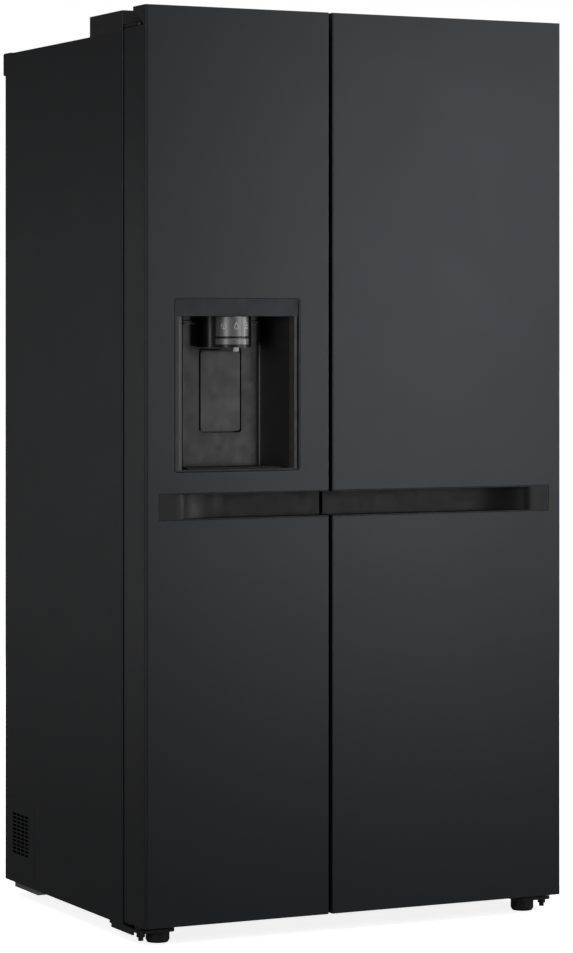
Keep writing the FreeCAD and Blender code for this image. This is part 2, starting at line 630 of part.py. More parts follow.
def door_skin(x):
    """Folded steel front. Its sides stop at the hinge notch, and its face runs up over the top cap."""
    shell = door_block(x, DOOR_BACK - 2, (DOOR_BOTTOM, HEIGHT), 0).cut(
        door_block(x, DOOR_BACK, (DOOR_BOTTOM - 1, HEIGHT + 1), SHEET))
    tools = [box(grown(x, 1), (FRONT + CORNER_R, DOOR_BACK + 1), (DOOR_STEP, HEIGHT + 1)), handle_window(x)]
    if x is FREEZER_DOOR:
        tools.append(dispenser_window(0.5))
    return shell.cut(tools)


def hinge_notch(x, grow):
    """Space at the top outer rear corner of a door for the fixed hinge arm: its front wall leans."""
    outer = x[0] if x is FREEZER_DOOR else x[1]
    inner = outer + math.copysign(38.5 + grow, -outer)
    low = DOOR_STEP - grow
    profile = [(-260, low), (-361 - grow, low), (-309 - grow, 1782), (-309 - grow, HEIGHT + 5), (-260, HEIGHT + 5)]
    start = min(outer, inner) - (5 if x is FREEZER_DOOR else 0)
    return prism([(start, *p) for p in profile], (43.5 + grow, 0, 0))


def end_caps(x):
    """Moulded top and bottom closures of a door, each with the bush for its hinge pin."""
    pin = hinge_x(x)
    inside = door_block(x, DOOR_BACK - 2.1, (DOOR_STEP - CAP_PLUG, HEIGHT), SHEET + 0.05)
    crown = box(x, (FRONT + CORNER_R + 0.05, DOOR_BACK), (DOOR_STEP + 0.05, HEIGHT))
    solid = fuse([inside, crown])
    hollow = box(grown(x, -SHEET - CAP_WALL), (FRONT + SHEET + CAP_WALL, DOOR_BACK - CAP_WALL - 2.1),
                 (DOOR_STEP - CAP_PLUG - 1, HEIGHT - CAP_WALL)).cut(hinge_notch(x, CAP_WALL))
    bush = rod(10.5, (pin, HINGE_Y, DOOR_STEP - CAP_PLUG), (0, 0, 1), CAP_PLUG - 1)
    pin_hole = rod(STUD_R + RUNNING, (pin, HINGE_Y, DOOR_STEP - 25), (0, 0, 1), 40)
    top = fuse([solid.cut(hollow).cut(hinge_notch(x, 0)), bush]).cut(pin_hole)

    low = DOOR_BOTTOM + 2
    foot = door_block(x, DOOR_BACK - 2.1, (low, low + 24), SHEET + 0.05)
    well = box(grown(x, -SHEET - CAP_WALL), (FRONT + SHEET + CAP_WALL, DOOR_BACK - CAP_WALL - 2.1),
               (low + CAP_WALL, low + 30))
    socket = rod(11.5, (pin, HINGE_Y, low), (0, 0, 1), 26)
    bottom = fuse([foot.cut(well), socket]).cut(rod(6 + RUNNING, (pin, HINGE_Y, low - 1), (0, 0, 1), 24))
    return Part.makeCompound([top, bottom])


def dyke_x(x):
    return FREEZER_DYKE_X if x is FREEZER_DOOR else FRIDGE_DYKE_X


def door_core(x, inset):
    """Back of a door's insulation: a flat rim for the seal, a raised dyke, and the well inside it."""
    dyke = dyke_x(x)
    side = 20 if inset else -1.4
    slab = box(grown(x, side), (WELL_Y - 12, DOOR_BACK - inset), (38 - 5 * bool(inset), 1750 + 5 * bool(inset)))
    bank = rounded(box(grown(dyke, -inset), (WELL_Y - 12, DYKE_BACK - inset), grown(DYKE_Z, -inset)), 12.0 - inset, 1)
    well_x = grown(dyke, -DYKE_W + inset)
    well_z = grown(DYKE_Z, -DYKE_W + inset)
    wells = [well_z]
    if x is FREEZER_DOOR:
        wells = [(well_z[0], BULGE_Z[0] + inset), (BULGE_Z[1] - inset, well_z[1])]
    solid = fuse([slab, bank])
    hollows = [rounded(box(well_x, (WELL_Y - inset, DYKE_BACK + 5), z), 10.0 + inset, 1) for z in wells]
    if x is FREEZER_DOOR:
        hollows.append(box(well_x, (BULGE_Y - inset, DYKE_BACK + 5), grown(BULGE_Z, 20)))
    return solid.cut(hollows)


def door_liner(x):
    """Vacuum-formed back of a door, 2 mm thick."""
    skin = door_core(x, 0).cut(door_core(x, 2))
    keep = box(grown(x, 5), (WELL_Y - 2, DYKE_BACK + 1), (30, 1760))
    skin = skin.common(keep)
    if x is FREEZER_DOOR:
        skin = skin.cut(box((DISP_X - 30, DISP_X + 30), (-282, -246), (BULGE_Z[1] - 6, BULGE_Z[1] + 6)))
    return max(skin.Solids, key=lambda s: s.Volume)


def door_foam(x):
    """Insulation between a door's skin and its lining, clear of the pocket, the recess and the caps."""
    gap = 0.6
    block = door_block(x, WELL_Y - 2 - gap, (66, DOOR_STEP - CAP_PLUG - gap), SHEET + gap)
    back = door_core(x, 2 + gap).common(box(grown(x, -SHEET - gap), (WELL_Y - 12, 0), (66, DOOR_STEP - CAP_PLUG - gap)))
    solid = fuse([block, back])
    pocket = handle_shell(x, 3.6)
    tools = [pocket.translated(Vector(0, 0, dz)) for dz in (-2, 2)]
    tools += [grip_block(x, 3.6), rod(12.5, (hinge_x(x), HINGE_Y, 0), (0, 0, 1), 66.5)]
    if x is FREEZER_DOOR:
        tools.append(box((DISP_X - DISP_HALF - 1, DISP_X + DISP_HALF + 1), (FRONT, FRONT + 88), (898, 1236)))
        tools.append(box((DISP_X - 53, DISP_X + 53), (FRONT, FRONT + POCKET_D + 4), (960, 1145)))
        tools.append(chute_duct(4))
    foam = solid.cut(tools)
    return max(foam.Solids, key=lambda s: s.Volume)


def gasket(x):
    """Magnetic seal: a flat foot on the door lining and a narrower bulb towards the cabinet."""
    foot = ring(x, (DOOR_BACK + 0.05, DOOR_BACK + 5), GASKET_Z, GASKET_W)
    bulb = ring(grown(x, -2.5), (DOOR_BACK + 4, CAB_FRONT - 0.3), grown(GASKET_Z, -2.5), GASKET_W - 5)
    return fuse([foot, bulb])


# ---------------------------------------------------------------- handle pockets
def handle_face(x, behind):
    """Top view of the pocket's floor, moved back by behind, closed along the door's front face."""
    mirror = 1 if x is FREEZER_DOOR else -1
    edge = x[1] if x is FREEZER_DOOR else x[0]
    turn = 2 * math.atan(HANDLE_DEEP / HANDLE_SWEEP)
    both = HANDLE_SWEEP / math.sin(turn)
    sweep_r = both - HANDLE_ROLL_R
    start = -HANDLE_END + HANDLE_FLUSH

    def at(px, depth):
        return Vector(mirror * px, FRONT + depth, 0)

    def roll(angle):
        r = HANDLE_ROLL_R - behind
        return at(start + r * math.sin(angle), HANDLE_ROLL_R - r * math.cos(angle))

    def dive(angle):
        r = sweep_r + behind
        end = start + HANDLE_SWEEP
        return at(end - r * math.sin(angle), HANDLE_DEEP - sweep_r + r * math.cos(angle))

    corners = [dive(0), Vector(edge, FRONT + HANDLE_DEEP + behind, 0), Vector(edge, FRONT, 0)]
    if behind:
        corners += [at(-HANDLE_END, 0), at(-HANDLE_END, behind)]
    corners.append(roll(0))
    edges = [Part.Arc(roll(0), roll(turn / 2), roll(turn)).toShape(),
             Part.Arc(dive(turn), dive(turn / 2), dive(0)).toShape()]
    edges += [Part.LineSegment(a, b).toShape() for a, b in zip(corners, corners[1:])]
    return Part.Face(Part.Wire(edges))


def handle_shell(x, behind):
    """Block from the door's face back to the pocket's floor, moved back by behind."""
    face = handle_face(x, behind)
    face.translate(Vector(0, 0, HANDLE_Z[0]))
    return face.extrude(Vector(0, 0, HANDLE_Z[1] - HANDLE_Z[0]))


def grip_x(x):
    deep = -HANDLE_END + HANDLE_FLUSH + HANDLE_SWEEP + 8
    return (deep, x[1] - SHEET - 0.1) if x is FREEZER_DOOR else (x[0] + SHEET + 0.1, -deep)


def grip_block(x, grow):
    """Hidden channel above the pocket that holds the finger undercut, open at both ends."""
    return box(grown(grip_x(x), grow - 3), (FRONT + 9 - grow + 3, FRONT + HANDLE_DEEP + grow),
               (HANDLE_Z[1] - 1, HANDLE_Z[1] + GRIP_UP + grow))


def handle(x):
    """Moulded pocket: flush at its outer end, diving to full depth, open at the door's inner edge."""
    pocket = handle_face(x, 0)
    pocket.translate(Vector(0, 0, HANDLE_Z[0] + HANDLE_WALL))
    pocket = pocket.extrude(Vector(0, 0, HANDLE_Z[1] - HANDLE_Z[0] - 2 * HANDLE_WALL))
    undercut = box(grown(grip_x(x), 1), (FRONT + 12, FRONT + HANDLE_DEEP - 0.02),
                   (HANDLE_Z[1] - HANDLE_WALL - 1, HANDLE_Z[1] + GRIP_UP))
    return fuse([handle_shell(x, 3), grip_block(x, 3)]).cut([pocket, undercut])


# ---------------------------------------------------------------- dispenser
def recess(grow, z, depth):
    """Tapered recess seen from above: a chamfered mouth, slanting cheeks and rounded back corners."""
    mouth, throat, back = (half + grow for half in RECESS_HALF)
    right = [(mouth, -1.0), (mouth, 0.0), (throat, CHAMFER_D), (back, depth)]
    points = [(DISP_X + px, FRONT + py, z[0]) for px, py in right]
    points += [(DISP_X - px, FRONT + py, z[0]) for px, py in reversed(right)]
    solid = prism(points, (0, 0, z[1] - z[0]))
    return rounded(solid, 9.0 + grow, 2, lambda e: e.Vertexes[0].Y > FRONT + depth - 1)


def dispenser_housing():
    """Moulded recess in the freezer door, with the paddle's pocket in its back wall."""
    outer = recess(HOUSING_WALL, (RECESS_FLOOR - HOUSING_WALL, FASCIA_FOOT + HOUSING_WALL), RECESS_D + HOUSING_WALL)
    outer = outer.common(box((-500, 0), (FRONT + FASCIA_T + 0.1, 0), (800, 1300)))
    cavity = recess(0, (RECESS_FLOOR, FASCIA_FOOT), RECESS_D)
    pocket_x = (DISP_X - POCKET_HALF, DISP_X + POCKET_HALF)
    back_box = box(grown(pocket_x, HOUSING_WALL), (FRONT + RECESS_D, FRONT + POCKET_D + HOUSING_WALL),
                   grown(POCKET_Z, HOUSING_WALL))
    pocket = rounded(box(pocket_x, (FRONT + RECESS_D - 4, FRONT + POCKET_D), POCKET_Z), 5.0, 1)
    flange = box((DISP_X - DISP_HALF + 0.6, DISP_X + DISP_HALF - 0.6),
                 (FRONT + FASCIA_T + 0.1, FRONT + FASCIA_T + 1.6), (DISP_Z[0] + 0.6, FASCIA_FOOT + HOUSING_WALL))
    ledge = rounded(box((DISP_X - 80, DISP_X + 80), (FRONT + RECESS_D - 3, FRONT + RECESS_D + 1), (1185, 1191)),
                    1.5, 0, lambda e: e.Vertexes[0].Y < FRONT + RECESS_D - 2)
    body = fuse([fuse([outer, flange]).cut(cavity), back_box, ledge])
    pins = rod(2.5 + RUNNING, (DISP_X - 60, *PADDLE_PIVOT), (1, 0, 0), 120)
    spout = rod(24, (SPOUT_X, DIAL_Y, FASCIA_FOOT - 2), (0, 0, 1), 8)
    chute_slot = box((SPOUT_X - 51, SPOUT_X + 51), (FRONT + RECESS_D - 4, FRONT + RECESS_D), (1184, 1192))
    return body.cut([pocket, pins, spout, chute_slot])


def dispenser_fascia():
    """Thin frame round the recess with the plain fascia panel along its top."""
    x, z = (DISP_X - DISP_HALF, DISP_X + DISP_HALF), DISP_Z
    plate = rounded(box(x, (FRONT, FRONT + FASCIA_T), z), DISP_CORNER, 1)
    plate = plate.makeFillet(0.9, [e for e in plate.Edges if e.BoundBox.YMax < FRONT + 0.01])
    mouth = box(grown(x, -FASCIA_W), (FRONT - 1, FRONT + FASCIA_T + 1), (z[0] + FASCIA_W, FASCIA_FOOT))
    inset = rounded(box(grown(x, -FASCIA_W), (FRONT - 1, FRONT + PANEL_INSET), (FASCIA_FOOT - 1, z[1] - FASCIA_W)), 4.0, 1,
                    lambda e: e.Vertexes[0].Z > FASCIA_FOOT)
    return plate.cut([mouth, inset])


def chute_duct(grow):
    """Sloping ice duct from the bucket down to the spout, as a solid grown by a wall."""
    def rim(y, z):
        pts = [(DISP_X - 26 - grow, y[0] - grow), (DISP_X + 26 + grow, y[0] - grow),
               (DISP_X + 26 + grow, y[1] + grow), (DISP_X - 26 - grow, y[1] + grow)]
        return Part.makePolygon([Vector(px, py, z) for px, py in pts + pts[:1]])
    return Part.makeLoft([rim((-352, -314), FASCIA_FOOT + 2.6), rim((-278, -250), BULGE_Z[1] - 2.4)], True, True)


def dispenser_chute():
    """Dark spout block behind the dial, the fixed tube inside it, the nozzle ring and the duct above."""
    block = rounded(box((SPOUT_X - 50, SPOUT_X + 50), (FRONT + 34, FRONT + RECESS_D - 0.1),
                        (NOZZLE_Z[0], FASCIA_FOOT - 0.1)), 20.0, 2, lambda e: e.Vertexes[0].Y < FRONT + 40)
    room_for_dial = rod(DIAL_R + 1.5, (SPOUT_X, DIAL_Y, DIAL_Z[0] - 1.2), (0, 0, 1), 60)
    nozzle = rod(DIAL_R, (SPOUT_X, DIAL_Y, NOZZLE_Z[0]), (0, 0, 1), NOZZLE_Z[1] - NOZZLE_Z[0])
    tube = rod(SPOUT_R, (SPOUT_X, DIAL_Y, NOZZLE_Z[0]), (0, 0, 1), FASCIA_FOOT - NOZZLE_Z[0] - 0.1)
    water = rod(4.5, (SPOUT_X - 2.5, DIAL_Y - 25.5, NOZZLE_Z[0] - 5), (0, 0, 1), 8)
    spout = fuse([block.cut(room_for_dial), nozzle, tube]).cut(
        rod(22, (SPOUT_X, DIAL_Y, NOZZLE_Z[0] - 1), (0, 0, 1), 80))
    duct = chute_duct(2.4).cut(chute_duct(0))
    return Part.makeCompound([fuse([spout, water]), duct])


def dispenser_dial():
    """Selector ring that turns on the fixed spout tube."""
    height = DIAL_Z[1] - DIAL_Z[0]
    outer = rod(DIAL_R, (SPOUT_X, DIAL_Y, DIAL_Z[0]), (0, 0, 1), height)
    outer = outer.makeChamfer(0.8, [e for e in outer.Edges if isinstance(e.Curve, Part.Circle)])
    return outer.cut(rod(SPOUT_R + RUNNING, (SPOUT_X, DIAL_Y, DIAL_Z[0] - 1), (0, 0, 1), height + 2))


def dispenser_paddle():
    """Push pad hinged at its top on two stub pins."""
    x = (DISP_X - PADDLE_HALF, DISP_X + PADDLE_HALF)
    front = FRONT + RECESS_D - 1
    plate = rounded(box(x, (front, front + 4), PADDLE_Z), 5.0, 1)
    rib = box((DISP_X - 30, DISP_X + 30), (front + 3, front + 7), (PADDLE_Z[0] + 20, PADDLE_Z[1] - 15))
    barrel = rod(3.6, (x[0], *PADDLE_PIVOT), (1, 0, 0), 2 * PADDLE_HALF)
    pins = rod(2.5, (DISP_X - PADDLE_HALF - 4, *PADDLE_PIVOT), (1, 0, 0), 2 * PADDLE_HALF + 8)
    return fuse([plate, rib, barrel, pins])


def drip_tray():
    """Lift-out grille on the recess floor."""
    low = RECESS_FLOOR + 0.2
    right = [(104.0, 16.0), (81.0, 77.0)]
    points = [(DISP_X + px, FRONT + py, low) for px, py in right]
    points += [(DISP_X - px, FRONT + py, low) for px, py in reversed(right)]
    plate = rounded(prism(points, (0, 0, 3.5)), 4.0, 2)
    slots = []
    for i in range(-8, 9):
        slots.append(box((DISP_X + i * 8.6 - 1.6, DISP_X + i * 8.6 + 1.6), (FRONT + 26, FRONT + 68), (low - 1, low + 5)))
    return plate.cut(slots)


# ---------------------------------------------------------------- inside the doors
def well_x(x):
    return grown(dyke_x(x), -DYKE_W)


def door_bins(x, heights):
    """Open bins that hang between the dyke's side walls."""
    span = grown(well_x(x), -1.5)
    bins = [tub(span, (WELL_Y + 1.5, BIN_FRONT), (z, z + BIN_H), BIN_WALL, TUB_R) for z in heights]
    if x is FRIDGE_DOOR:
        bins.append(tub(span, (WELL_Y + 1.5, BIN_FRONT), (DAIRY_BIN_Z, DAIRY_BIN_Z + DAIRY_H), BIN_WALL, TUB_R))
    return Part.makeCompound(bins)


def dairy_cover():
    """Clear lid of the dairy bin, hinged along its back edge."""
    span = grown(well_x(FRIDGE_DOOR), -3)
    y, z = DAIRY_HINGE
    lid = box(span, (y, BIN_FRONT - 1), (z, z + 2.5))
    lip = box(span, (BIN_FRONT - 3.5, BIN_FRONT - 1), (DAIRY_BIN_Z + DAIRY_H + 3, z + 2.5))
    lip = rounded(fuse([lid, lip]), 2.4, 0, lambda e: e.Vertexes[0].Z > z + 2 and e.Vertexes[0].Y > BIN_FRONT - 2)
    barrel = rod(3, (span[0], y, z + 1.2), (1, 0, 0), span[1] - span[0])
    return fuse([lip, barrel])


def ice_maker():
    """Ice maker over its lift-out bucket, both in the upper well of the freezer door."""
    x = grown(well_x(FREEZER_DOOR), -2)
    y = (WELL_Y + 1.5, -174.0)
    unit = rounded(box(x, y, (1512, 1655)), 8.0, 2)
    unit = unit.cut(box(grown(x, -12), grown(y, -12), (1500, 1585)))
    bucket = tub(x, y, (1270, 1495), 3.0, TUB_R)
    outlet = box((DISP_X - 26, DISP_X + 26), (-278, -250), (1260, 1275))
    return Part.makeCompound([unit, bucket.cut(outlet)])


# ---------------------------------------------------------------- all nodes
def main():
    os.makedirs("parts", exist_ok=True)
    for name in os.listdir("parts"):
        if name.endswith(".step"):
            os.remove(os.path.join("parts", name))

    left = {"side_panel": side_panel(), "top_hinge": top_hinge(), "bottom_hinge": bottom_hinge(),
            "hinge_cover": hinge_cover(), "levelling_foot": levelling_foot(), "rear_roller": rear_roller()}
    for name, shape in left.items():
        if name == "side_panel":
            PARTS["left_side_panel"], PARTS["right_side_panel"] = shape, mirrored(shape)
        else:
            PARTS[name + "_left"], PARTS[name + "_right"] = shape, mirrored(shape)

    grille = side_vent_grille()
    PARTS["side_vent_grilles"] = Part.makeCompound([grille, mirrored(grille)])
    PARTS["top_panel"] = top_panel()
    PARTS["back_panel"] = back_panel()
    PARTS["front_frame"] = front_frame()
    PARTS["freezer_liner"] = liner(FREEZER_X, ledges())
    PARTS["fridge_liner"] = liner(FRIDGE_X, ledges())
    PARTS["cabinet_foam"] = cabinet_foam()
    PARTS["base_frame"] = base_frame()
    PARTS["rear_top_rail"] = rear_top_rail()
    PARTS["rear_cover"] = rear_cover()
    PARTS["water_inlet_valve"] = water_inlet_valve()
    PARTS["compressor"] = compressor()
    PARTS["condenser"] = condenser()
    PARTS["condenser_fan_motor"] = fan_motor()
    PARTS["condenser_fan"] = condenser_fan()
    PARTS["evaporator"] = evaporator()
    PARTS["evaporator_fan"] = evaporator_fan()
    PARTS["evaporator_cover"] = evaporator_cover()
    PARTS["fridge_air_duct"] = fridge_air_duct()
    PARTS["glass_shelves"] = shelf_panes()
    PARTS["shelf_trims"] = shelf_trims()
    for names, x in ((("freezer_drawer_lower", "freezer_drawer_upper"), FREEZER_X),
                     (("crisper_lower", "crisper_upper"), FRIDGE_X)):
        for name, z, back in zip(names, DRAWERS_Z, DRAWER_BACKS):
            PARTS[name] = drawer(x, (DRAWER_Y0, back), z)
    PARTS["screws"] = screws()

    for name, x, bins_z in (("freezer", FREEZER_DOOR, FREEZER_BINS_Z), ("fridge", FRIDGE_DOOR, FRIDGE_BINS_Z)):
        PARTS[name + "_door_skin"] = door_skin(x)
        PARTS[name + "_door_liner"] = door_liner(x)
        PARTS[name + "_door_foam"] = door_foam(x)
        PARTS[name + "_door_gasket"] = gasket(GASKETS_X[0] if x is FREEZER_DOOR else GASKETS_X[1])
        PARTS[name + "_door_end_caps"] = end_caps(x)
        PARTS[name + "_handle"] = handle(x)
        PARTS[name + "_door_bins"] = door_bins(x, bins_z)
    PARTS["dispenser_housing"] = dispenser_housing()
    PARTS["dispenser_fascia"] = dispenser_fascia()
    PARTS["dispenser_chute"] = dispenser_chute()
    PARTS["dispenser_dial"] = dispenser_dial()
    PARTS["dispenser_paddle"] = dispenser_paddle()
    PARTS["drip_tray"] = drip_tray()
    PARTS["ice_maker"] = ice_maker()
    PARTS["dairy_cover"] = dairy_cover()

    for name, shape in PARTS.items():
        solids = shape.Solids
        bad = [s for s in solids if not s.isValid() or s.Volume <= 0]
        print(f"{name:26s} solids {len(solids):3d}  cm3 {sum(s.Volume for s in solids) / 1000:10.1f}"
              + ("  INVALID" if bad or not solids else ""))
        Part.makeCompound(solids).exportStep(f"parts/{name}.step")
    print(len(PARTS), "nodes")


main()
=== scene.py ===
import json
import math

import bmesh
import bpy
from mathutils import Matrix, Quaternion, Vector


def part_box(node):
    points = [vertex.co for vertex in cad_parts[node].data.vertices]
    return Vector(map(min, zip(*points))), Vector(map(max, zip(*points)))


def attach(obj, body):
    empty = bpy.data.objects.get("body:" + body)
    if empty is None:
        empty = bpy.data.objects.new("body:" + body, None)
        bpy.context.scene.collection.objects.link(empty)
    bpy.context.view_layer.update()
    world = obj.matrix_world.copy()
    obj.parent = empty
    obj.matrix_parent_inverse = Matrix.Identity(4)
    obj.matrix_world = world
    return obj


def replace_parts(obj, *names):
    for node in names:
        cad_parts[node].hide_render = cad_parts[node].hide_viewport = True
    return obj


# Looks of a matte black side-by-side refrigerator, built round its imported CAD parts. Metres, +Z up,
# doors towards -Y.

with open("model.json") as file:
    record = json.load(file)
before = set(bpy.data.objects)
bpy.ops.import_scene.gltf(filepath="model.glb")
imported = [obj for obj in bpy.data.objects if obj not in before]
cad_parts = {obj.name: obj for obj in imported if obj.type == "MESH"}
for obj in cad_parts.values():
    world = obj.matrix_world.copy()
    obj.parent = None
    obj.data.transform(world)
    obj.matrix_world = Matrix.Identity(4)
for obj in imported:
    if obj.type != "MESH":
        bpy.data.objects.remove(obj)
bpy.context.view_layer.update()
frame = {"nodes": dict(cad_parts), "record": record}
NODES = frame["nodes"]
SLOT_OF = {s["node"]: s["material_slot"] for s in frame["record"]["subparts"]}


# ---------------------------------------------------------------- materials
class Look:
    """One procedural material: a Principled shader fed by patterns in metres."""

    def __init__(self, name, colour, roughness, **sockets):
        self.mat = bpy.data.materials.new(name)
        self.mat.use_nodes = True
        self.tree = self.mat.node_tree
        self.shader = self.tree.nodes["Principled BSDF"]
        self.coord = self.add("ShaderNodeTexCoord").outputs["Object"]
        self.shader.inputs["Base Color"].default_value = (*colour, 1.0)
        self.shader.inputs["Roughness"].default_value = roughness
        for key, value in sockets.items():
            self.shader.inputs[key.replace("_", " ")].default_value = value

    def add(self, kind, **settings):
        node = self.tree.nodes.new(kind)
        for key, value in settings.items():
            setattr(node, key, value)
        return node

    def link(self, source, target):
        self.tree.links.new(source, target)

    def put(self, socket, value):
        """Links an output to a socket, or sets a plain value on it."""
        if isinstance(value, bpy.types.NodeSocket):
            self.link(value, socket)
        else:
            socket.default_value = value

    def space(self, lengths):
        """Object coordinates, divided by a length along each axis."""
        mapping = self.add("ShaderNodeMapping")
        self.link(self.coord, mapping.inputs["Vector"])
        mapping.inputs["Scale"].default_value = tuple(1.0 / length for length in lengths)
        return mapping.outputs["Vector"]

    def noise(self, size, detail=3.0, stretch=(1, 1, 1), distortion=0.0):
        """Noise whose features are about size metres long, from 0 to 1."""
        node = self.add("ShaderNodeTexNoise")
        self.link(self.space([size * s for s in stretch]), node.inputs["Vector"])
        node.inputs["Scale"].default_value = 1.0
        node.inputs["Detail"].default_value = detail
        node.inputs["Distortion"].default_value = distortion
        return node.outputs["Fac"]

    def cells(self, size, feature="F1"):
        node = self.add("ShaderNodeTexVoronoi", feature=feature)
        self.link(self.space([size] * 3), node.inputs["Vector"])
        node.inputs["Scale"].default_value = 1.0
        return node.outputs["Distance"]

    def bands(self, size, axis, profile="SIN"):
        node = self.add("ShaderNodeTexWave", bands_direction=axis, wave_profile=profile)
        self.link(self.space([size] * 3), node.inputs["Vector"])
        node.inputs["Scale"].default_value = 0.314
        return node.outputs["Fac"]

    def remap(self, value, low, high, to_low=0.0, to_high=1.0):
        node = self.add("ShaderNodeMapRange")
        node.inputs["From Min"].default_value = low
        node.inputs["From Max"].default_value = high
        node.inputs["To Min"].default_value = to_low
        node.inputs["To Max"].default_value = to_high
        self.link(value, node.inputs["Value"])
        return node.outputs["Result"]

    def calc(self, operation, a, b):
        node = self.add("ShaderNodeMath", operation=operation)
        self.put(node.inputs[0], a)
        self.put(node.inputs[1], b)
        return node.outputs["Value"]

    def mix(self, factor, a, b):
        """Colour between a and b."""
        node = self.add("ShaderNodeMix", data_type="RGBA")
        self.put(node.inputs["Factor"], factor)
        for socket, value in ((node.inputs[6], a), (node.inputs[7], b)):
            self.put(socket, value if isinstance(value, bpy.types.NodeSocket) else (*value, 1.0))
        return node.outputs[2]

    def colour(self, source):
        self.link(source, self.shader.inputs["Base Color"])
        return self

    def roughness(self, source):
        self.link(source, self.shader.inputs["Roughness"])
        return self

    def bump(self, height, depth):
        """Relief of the given depth in metres, added to any relief already there."""
        node = self.add("ShaderNodeBump")
        node.inputs["Strength"].default_value = 1.0
        node.inputs["Distance"].default_value = depth
        self.link(height, node.inputs["Height"])
        normal = self.shader.inputs["Normal"]
        if normal.is_linked:
            self.link(normal.links[0].from_socket, node.inputs["Normal"])
        self.link(node.outputs["Normal"], normal)
        return self


def shade(colour, factor):
    return tuple(min(1.0, c * factor) for c in colour)


def painted(name, colour, rough, grain, depth, smudge=0.06, vary=0.10, **sockets):
    """Coated sheet steel: powder grain, a slight drift of tone, and hand marks in the gloss."""
    look = Look(name, colour, rough, **sockets)
    look.colour(look.mix(look.noise(0.35, 4), shade(colour, 1 - vary), shade(colour, 1 + vary)))
    marks = look.calc("MULTIPLY", look.noise(0.16, 5, distortion=0.6), look.noise(0.012, 3))
    look.roughness(look.remap(marks, 0.12, 0.42, rough - smudge, rough + smudge * 0.6))
    look.bump(look.noise(grain, 3), depth)
    return look


def moulded(name, colour, rough, grain=0.0006, depth=0.00003, vary=0.06, **sockets):
    """Moulded plastic: spark-eroded grain, mottling and faint flow marks."""
    look = Look(name, colour, rough, **sockets)
    look.colour(look.mix(look.noise(0.05, 4), shade(colour, 1 - vary), shade(colour, 1 + vary)))
    look.roughness(look.remap(look.noise(0.02, 4), 0.3, 0.7, rough - 0.05, rough + 0.06))
    look.bump(look.cells(grain), depth)
    return look


def leather_grain_steel():
    """Side panels: stucco-embossed coated steel."""
    look = painted("case_steel", (0.0115, 0.0119, 0.0128), 0.42, 0.0012, 0.00005, smudge=0.02,
                   Specular_Tint=(0.86, 0.92, 1.0, 1.0))
    look.bump(look.cells(0.0032, "SMOOTH_F1"), 0.00016)
    return look


def door_steel():
    """Matte black coated steel with a fine satin grain."""
    return painted("door_steel", (0.0118, 0.0124, 0.0136), 0.37, 0.0007, 0.000012, smudge=0.02,
                   Specular_Tint=(0.90, 0.945, 1.0, 1.0))


def galvanised():
    """Pre-coated zinc steel: faint spangle under a thin grey coat."""
    look = Look("galvanised", (0.30, 0.31, 0.32), 0.45, Metallic=0.55)
    look.colour(look.mix(look.cells(0.009), (0.27, 0.28, 0.29), (0.33, 0.34, 0.35)))
    look.roughness(look.remap(look.noise(0.05, 4), 0.3, 0.7, 0.42, 0.50))
    look.bump(look.noise(0.12, 2), 0.0004)
    look.bump(look.noise(0.002, 3), 0.000006)
    return look


def brushed(name, colour, rough, along, metallic=1.0):
    """Metal brushed along one axis (0, 1 or 2)."""
    look = Look(name, colour, rough, Metallic=metallic, Anisotropic=0.4)
    stretch = [1, 1, 1]
    stretch[along] = 60
    lines = look.noise(0.0005, 4, stretch=stretch)
    look.colour(look.mix(lines, shade(colour, 0.78), shade(colour, 1.15)))
    look.roughness(look.remap(lines, 0.3, 0.7, rough - 0.08, rough + 0.10))
    look.bump(lines, 0.00002)
    return look


def interior_white():
    """Vacuum-formed polystyrene lining: satin, with a very slight ripple."""
    look = Look("liner_white", (0.84, 0.85, 0.85), 0.34)
    look.colour(look.mix(look.noise(0.3, 3), (0.82, 0.835, 0.84), (0.86, 0.87, 0.872)))
    look.roughness(look.remap(look.noise(0.08, 3), 0.3, 0.7, 0.31, 0.37))
    look.bump(look.noise(0.06, 2), 0.00012)
    look.bump(look.noise(0.0012, 2), 0.000006)
    return look


def clear_plastic():
    look = Look("clear_plastic", (0.88, 0.92, 0.94), 0.08, Alpha=1.0, IOR=1.49)
    look.shader.inputs["Transmission Weight"].default_value = 0.92
    look.roughness(look.remap(look.noise(0.03, 4), 0.3, 0.7, 0.05, 0.16))
    look.colour(look.mix(look.noise(0.08, 3), (0.84, 0.89, 0.91), (0.90, 0.93, 0.945)))
    look.bump(look.noise(0.02, 2), 0.0001)
    return look


def shelf_glass():
    look = Look("shelf_glass", (0.80, 0.90, 0.87), 0.03, IOR=1.52)
    look.shader.inputs["Transmission Weight"].default_value = 1.0
    look.roughness(look.remap(look.noise(0.04, 4), 0.3, 0.7, 0.01, 0.06))
    look.colour(look.mix(look.noise(0.2, 2), (0.80, 0.90, 0.87), (0.86, 0.93, 0.91)))
    return look


def foam():
    look = Look("foam", (0.62, 0.47, 0.22), 0.9)
    look.colour(look.mix(look.noise(0.01, 5), (0.55, 0.40, 0.17), (0.68, 0.53, 0.27)))
    look.bump(look.cells(0.0012), 0.0004)
    return look


def rubber():
    look = Look("gasket_rubber", (0.035, 0.036, 0.038), 0.62)
    look.colour(look.mix(look.noise(0.05, 3), (0.030, 0.031, 0.033), (0.042, 0.043, 0.045)))
    look.roughness(look.remap(look.noise(0.01, 4), 0.3, 0.7, 0.55, 0.72))
    look.bump(look.noise(0.0008, 3), 0.00003)
    return look


